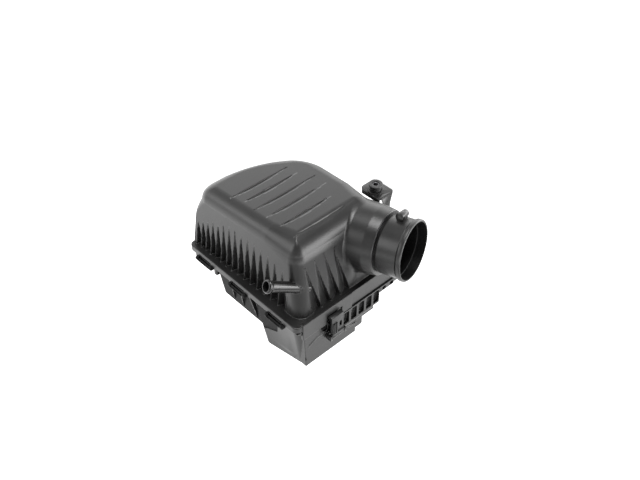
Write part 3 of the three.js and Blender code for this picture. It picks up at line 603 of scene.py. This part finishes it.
def flange_shape(x, y, z):
    """Flange with its lip, cut out at the hinges, and the skirt, cut back behind the side latch."""
    plan = plan_box(x, y, -FLANGE_X, 2.5, FRONT_EDGE, FLANGE_Y, FLANGE_ROUND)
    plate = rounded(plan, np.abs(z - PLATE / 2) - PLATE / 2, 1.0)
    lip = np.maximum(rounded(plan, np.abs(z + 1) - 4, 0.8), -(plan + 2.7))
    for hx in HINGES:
        slot = block(x, y, z, (hx - HINGE_HALF, -4, -4.2), (hx + HINGE_HALF, 0.4, -1.5), 0.4)
        lip = np.maximum(lip, -slot)
    skirt = np.minimum(block(x, y, z, (-0.5, 8, SKIRT_Z), (2.5, 170, 1), 0.6),
                       block(x, y, z, (-0.5, 8, SKIRT_Z), (4.2, 91.5, 5.4), 0.8))
    recess = block(x, y, z, (2.4, 47.4, -22.5), (9, 73.4, -6), 0.5)
    return np.minimum(np.minimum(plate, lip), np.maximum(skirt, -recess))


def cover_shape(x, y, z):
    """Hollow dome with the outlet's bell and the breather's boss, on its flange."""
    outlet = bell(x, y, z)
    body = fillet(dome(x, y, z), outlet, BELL_FILLET)
    body = fillet(body, blister(x, y, z), 4.0)
    inner = fillet(dome(x, y, z, True), outlet, BELL_FILLET) + WALL
    t, r = along(NIPPLE_ROOT, NIPPLE_AXIS, x, y, z)
    body = fillet(body, rounded(r - BOSS_RADIUS, np.abs(t - 4) - 8, 0.5), 2.0)
    solid = fillet(np.maximum(body, 0.2 - z), flange_shape(x, y, z), 0.5)
    duct_t, duct_r = along(DUCT_END, DUCT_AXIS, x, y, z)
    bore = np.maximum(duct_r - BELL_BORE, -duct_t - BORE_BACK)
    hole = np.maximum(r - BOSS_HOLE, -t - 5)
    return np.maximum(solid, -np.minimum(np.minimum(inner, bore), hole))


moulding(
    "cover_shell", cover_shape,
    spaced((-213, 0.9), (-206, 1.4), (-6, 0.8), (5.5, 1.5), (24, 0)),
    spaced((-2.6, 0.8), (4, 1.4), (170, 0.9), (179, 1.6), (195, 0)),
    spaced((-21, 0.9), (-6.5, 0.7), (7, 1.6), (109, 0)),
    "case_plastic", "cover", ["cover", "cover_rim"])


# ---- lower case: shelf, deck and sump with the outer panel, gussets and lobes
CASE_WALL, RIM_LOW, SHELF_Z, DECK_Z, DECK_TOP, SUMP_Z = 2.6, -7.5, -14.0, -63.0, -9.8, -77.0
# corners of the sump, anticlockwise from the near left one: x, y and the round of the corner
SUMP_LOW = [(-65.5, 5, 5), (-1.5, 15, 9), (-1.5, 103, 6), (-70, 103, 6)]
SUMP_HIGH = [(-88, 4, 5), (-1.5, 3, 9), (-1.5, 104, 6), (-85, 104, 6)]
# outlines seen from the duct side, as (y, z): the proud panel, its web at the corner and the latch's notch
PANEL = [(13, -74), (101, -74), (101, -58), (79, -56), (74, -50), (74, -20.3), (11, -20.3)]
WEB = [(0, -6), (16, -6), (16, -20), (33.5, -34.5)]
NOTCH = [(35, -16), (48.5, -12), (50.5, -30.5), (45.5, -34)]
PANEL_FACE = 2.4
# outline, as (x, z), of the part of the hinge side that is set back above the sump's foot
SETBACK = [(-81, -9), (-78, -46), (-70, -53), (-61, -48), (-43.5, -41), (-39, -9)]
# bead that comes down the panel from the rail, turns the corner and ends at the front bottom edge
RIDGE = [(1.4, 101, -59.5), (1.4, 78, -52.5), (1.4, 55, -37.5), (1.4, 43, -33.6), (1.4, 32, -33.2),
         (1.4, 20, -38.5), (-2, 14.2, -47), (-19, 13, -74)]
RIDGE_RADIUS = 1.7
GUSSETS = [(-134, 0.1), (-115, 0.1), (-96, -0.08)]
# low corner, high corner and round of the lobes under the rim and beside the sump
LOBES = [((-207, 2, -19.5), (-180, 16, RIM_LOW), 5.0), ((-167, 3, -24.5), (-160.5, 16, RIM_LOW), 2.2),
         ((-9, 99, -70), (2.2, 115, -50), 3.5)]
MOUTH = (-192.5, -17.5, 17.5, 160.5, 8.0)
INLET_LOW, INLET_HIGH = (-137.3, 150, -53.8), (-72.7, 175, -23.2)


def tapered(x, y, z, low, high, z0, z1, round_low=2.0):
    """Tub with a straight draft from the outline low at z0 to the outline high at z1."""
    level = ramp(z, z0, z1)
    corner = [[b + (t - b) * level for b, t in zip(base, top)] for base, top in zip(low, high)]
    count = len(corner)
    sides = [side_of(x, y, *corner[i][:2], *corner[(i + 1) % count][:2]) for i in range(count)]
    wall = sides[0]
    for i in range(1, count):
        wall = rounded(wall, sides[i], corner[i][2])
    return np.maximum(rounded(wall, z0 - z, round_low), z - z1)


def sump_tub(x, y, z):
    """Deep end of the case, before it is hollowed."""
    return tapered(x, y, z, SUMP_LOW, SUMP_HIGH, SUMP_Z, RIM_LOW)


def deck(x, y, z):
    """Shallow tub over the whole length of the case."""
    level = ramp(z, DECK_Z, DECK_TOP)
    wall = plan_box(x, y, -166 - 15 * level, -20 + 6 * level, 14 - level, 160 + 4 * level, 8.0)
    return np.maximum(rounded(wall, DECK_Z - z, 2.0), z - RIM_LOW)


def polygon(u, v, points):
    """Distance to a plane outline of any shape."""
    nearest, parity = 1e9, False
    for (u0, v0), (u1, v1) in zip(points, points[1:] + points[:1]):
        du, dv = u1 - u0, v1 - v0
        t = np.clip(((u - u0) * du + (v - v0) * dv) / (du * du + dv * dv), 0, 1)
        nearest = np.minimum(nearest, (u - u0 - t * du) ** 2 + (v - v0 - t * dv) ** 2)
        crosses = ((v0 > v) != (v1 > v)) & (u < u0 + (v - v0) * du / (dv if dv else 1e-9))
        parity = parity ^ crosses
    return np.where(parity, -1, 1) * np.sqrt(nearest)


def bead(x, y, z, points, radius):
    """Round bead along straight runs."""
    nearest = 1e9
    for first, last in zip(np.array(points, float), np.array(points[1:], float)):
        run = last - first
        px, py, pz = x - first[0], y - first[1], z - first[2]
        t = np.clip((px * run[0] + py * run[1] + pz * run[2]) / (run @ run), 0, 1)
        off = [p - t * r for p, r in zip((px, py, pz), run)]
        nearest = np.minimum(nearest, off[0] ** 2 + off[1] ** 2 + off[2] ** 2)
    return np.sqrt(nearest) - radius


def gusset(x, y, z, gx, lean):
    """Thin web under the flange, leaning along x, that stands on the deck wall."""
    sheet = np.abs(x - gx - lean * (z + 8)) - 0.9
    edge = 3.0 + 0.21 * np.maximum(-8 - z, 0) - y
    return np.maximum(np.maximum(sheet, edge), np.maximum(y - 18, np.abs(z + 33) - 25))


def setback_depth(x, y):
    """Height over the floor of the setback, which leans a little along x."""
    return y - 6.8 - 0.03 * (x + 60)


def panel_shape(x, y, z):
    """Proud panel of the duct side with its corner web, cut open for the latch."""
    panel = rounded(polygon(y, z, PANEL), np.abs(x + 4) - 4 - PANEL_FACE, 0.7)
    web = rounded(polygon(y, z, WEB), np.abs(x + 1) - 3.2, 0.6)
    return np.maximum(np.minimum(panel, web), -np.maximum(polygon(y, z, NOTCH), -1 - x))


def rim_shape(x, y, z):
    """Rim under the cover's flange, with the seat of the seal."""
    rim = rounded(plan_box(x, y, -208.8, -1, 1.7, 174.8, 5.0), np.abs(z + 3.9) - 3.6, 0.6)
    seat = np.maximum(plan_box(x, y, -201.8, -8.2, 8.2, 169.8, 6.0), -3.8 - z)
    return np.maximum(rim, -np.minimum(plan_box(x, y, *MOUTH), seat))


def case_shape(x, y, z):
    """Shelf, deck and sump, hollowed, with what stands on their outside."""
    shelf = rounded(plan_box(x, y, -198, -11, 12, 166, 8.0), SHELF_Z - z, 1.5)
    shelf = np.maximum(shelf, z - RIM_LOW)
    low, sump = deck(x, y, z), sump_tub(x, y, z)
    tub = fillet(fillet(low, shelf, 2.0), sump, 8.0)
    hollow = np.minimum(np.minimum(shelf, low), sump) + CASE_WALL
    hollow = np.minimum(hollow, np.maximum(plan_box(x, y, *MOUTH), -9 - z))
    setback = np.maximum(polygon(x, z, SETBACK), setback_depth(x, y))
    tub = np.maximum(tub, -setback)
    hollow = np.maximum(hollow, CASE_WALL - setback)
    for gx, lean in GUSSETS:
        tub = np.minimum(tub, gusset(x, y, z, gx, lean))
    for lobe in LOBES:
        tub = np.minimum(tub, block(x, y, z, *lobe))
    tub = np.minimum(tub, panel_shape(x, y, z))
    tub = fillet(tub, bead(x, y, z, RIDGE, RIDGE_RADIUS), 0.9)
    inlet = block(x, y, z, INLET_LOW, INLET_HIGH, 1.0)
    return np.minimum(np.maximum(tub, -np.minimum(hollow, inlet)), rim_shape(x, y, z))


case_shell = moulding(
    "case_shell", case_shape,
    spaced((-210.5, 1.3), (-170, 1.1), (-18, 0.8), (4.4, 0)),
    spaced((0.2, 0.8), (20, 1.3), (98, 1.0), (112, 1.7), (168, 1.2), (176, 0)),
    spaced((-78.5, 1.0), (-24, 0.8), (0.8, 0)),
    "case_plastic", "case", ["lower_case", "lower_rim"])


def painted_shade_walls(x, y, z):
    """Faces that get painted shade: the deck's wall between the gussets, as far as the sump's blend, and
    the floor of the setback.
    """
    deck_wall = (np.abs(y - 14) < 2.5) & (z > -62.5) & (z < RIM_LOW) & (x > -184)
    deck_wall = deck_wall & (sump_tub(x, y, z) > 6)
    recess = (np.abs(setback_depth(x, y)) < 0.4) & (polygon(x, z, SETBACK) < 0.2)
    return deck_wall | recess


# painted shade on the recessed deck wall and the setback's floor
paint_shade(case_shell, painted_shade_walls)


# ---- pocketed rail under the skirt
# middles, along y, of the pockets, and the near faces of the webs behind the rail
POCKETS, SMALL_POCKETS = [80.5, 94.2, 107.8, 121.4, 134.9], [149.6, 163.5]
RAIL_WEBS = [114, 155]


def rail_shape(x, y, z):
    """Rail with open pockets, stiffened along its foot and tied to the case by two webs."""
    body = np.minimum(block(x, y, z, (-0.9, 74.4, -46), (5, 142, -20.3), 1.6),
                      block(x, y, z, (-0.9, 141, -29.5), (5, 169, -20.3), 1.6))
    body = fillet(body, block(x, y, z, (-0.9, 74.4, -49), (6.4, 130, -45), 1.4), 1.5)
    for half, low, centres in [(4.9, -42.5, POCKETS), (3.3, -27.5, SMALL_POCKETS)]:
        for c in centres:
            hole = plan_box(y, z, c - half, c + half, low, -22.0, 2.4)
            body = np.maximum(body, -rounded(hole, 0.6 - x, 0.5))
    for c in RAIL_WEBS:
        body = np.minimum(body, block(x, y, z, (-10.7, c, -30), (-0.3, c + 3, -8.2), 0.4))
    return body


moulding(
    "rail_shell", rail_shape,
    spaced((-11.5, 1.2), (-1.5, 0.55), (7, 0)),
    spaced((73.5, 0.6), (170, 0)),
    spaced((-50, 0.6), (-19.5, 1.2), (-7.4, 0)),
    "case_plastic", "case", ["pocket_rail"])


# ---- turned pieces
SOFTENED = 0.4


def softened(profile):
    """Closed outline with each corner taken back to three points."""
    ring = []
    count = len(profile)
    for i, corner in enumerate(np.array(profile, float)):
        ends = []
        for other in (profile[i - 1], profile[(i + 1) % count]):
            way = np.array(other, float) - corner
            length = np.linalg.norm(way)
            ends.append(corner + way * min(SOFTENED, 0.45 * length) / length)
        ring += [ends[0], (ends[0] + 2 * corner + ends[1]) / 4, ends[1]]
    return ring


def lathe(name, profile, start, axis, slot, body, nodes, turns, shaded_corners):
    """Closed (distance, radius) outline turned round an axis, its corners softened.

    The first corners of the outline, as many as the last count given, are the inside, which gets painted
    shade with the darker, less glossy plastic.
    """
    axis = np.array(axis, float) / np.linalg.norm(axis)
    side = np.cross(axis, (0.3, 0.2, 0.9))
    side /= np.linalg.norm(side)
    up = np.cross(axis, side)
    angle = np.linspace(0, 2 * math.pi, turns, endpoint=False)
    spoke = np.cos(angle)[:, None] * side + np.sin(angle)[:, None] * up
    t, r = np.array(softened(profile)).T
    vertices = np.array(start) + t[None, :, None] * axis + r[None, :, None] * spoke[:, None, :]
    n = len(t)
    a, k = np.meshgrid(np.arange(turns), np.arange(n), indexing="ij")
    b, m = (a + 1) % turns, (k + 1) % n
    quads = np.stack([a * n + k, a * n + m, b * n + m, b * n + k], -1).reshape(-1, 4)
    mesh = quad_mesh(name, vertices.reshape(-1, 3), quads)
    mesh.polygons.foreach_set("use_smooth", [True] * len(mesh.polygons))
    mesh.set_sharp_from_angle(angle=math.radians(50))
    obj = bpy.data.objects.new(name, mesh)
    bpy.context.scene.collection.objects.link(obj)
    finish_piece(obj, slot, body, nodes)
    # painted shade inside the tube
    mesh.materials.append(MATERIALS["painted_shade_plastic"])
    inside = ((k < 3 * shaded_corners - 1) | (k == n - 1)).ravel()
    mesh.polygons.foreach_set("material_index", inside.astype(np.int32))
    return obj


BORE = 35.2
TUBE = [
    (-62, BORE), (-13, BORE), (-12.4, 36.6), (-0.6, 37.0), (0, 37.4), (0, 38.6), (-1.4, 40), (-5.4, 40),
    (-6.6, 38.6), (-7.6, 38), (-33, 38), (-34.2, 37.2), (-62, 37.2)]
TIP = [
    (-14, 5.6), (NIPPLE_LENGTH, 6.0), (NIPPLE_LENGTH, 7.2), (NIPPLE_LENGTH - 1.4, 8.5),
    (NIPPLE_LENGTH - 3.4, 8.4), (NIPPLE_LENGTH - 6.5, 7.0), (-14, 7.0)]

lathe(
    "outlet_tube", TUBE, DUCT_END, DUCT_AXIS, "case_plastic", "cover", ["outlet_duct"],
    turns=200, shaded_corners=4)
breather = lathe(
    "breather_tube", TIP, NIPPLE_ROOT, NIPPLE_AXIS, "case_plastic", "cover", ["breather_nipple"],
    turns=72, shaded_corners=2)
breather.data.materials[0] = MATERIALS["gloss_plastic"]


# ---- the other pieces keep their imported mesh, with broken edges
EDGE_WIDTH = 0.35


def ease(node):
    """Joins doubled points and breaks the sharp edges."""
    mesh = node.data
    mesh.polygons.foreach_set("use_smooth", [True] * len(mesh.polygons))
    weld = node.modifiers.new("weld", "WELD")
    weld.merge_threshold = 0.02 * MM
    bevel = node.modifiers.new("bevel", "BEVEL")
    bevel.width, bevel.segments = EDGE_WIDTH * MM, 2
    bevel.limit_method, bevel.angle_limit = "ANGLE", math.radians(35)
    bevel.harden_normals = True


slots = {part["node"]: part["material_slot"] for part in frame["record"]["subparts"]}
for name, node in frame["nodes"].items():
    # painted shade on the hinge rails and hooks, which sit in the lip's shadow
    hinge_shade = name.startswith("hinge")
    node.data.materials.clear()
    node.data.materials.append(MATERIALS["painted_shade_plastic" if hinge_shade else slots[name]])
    ease(node)
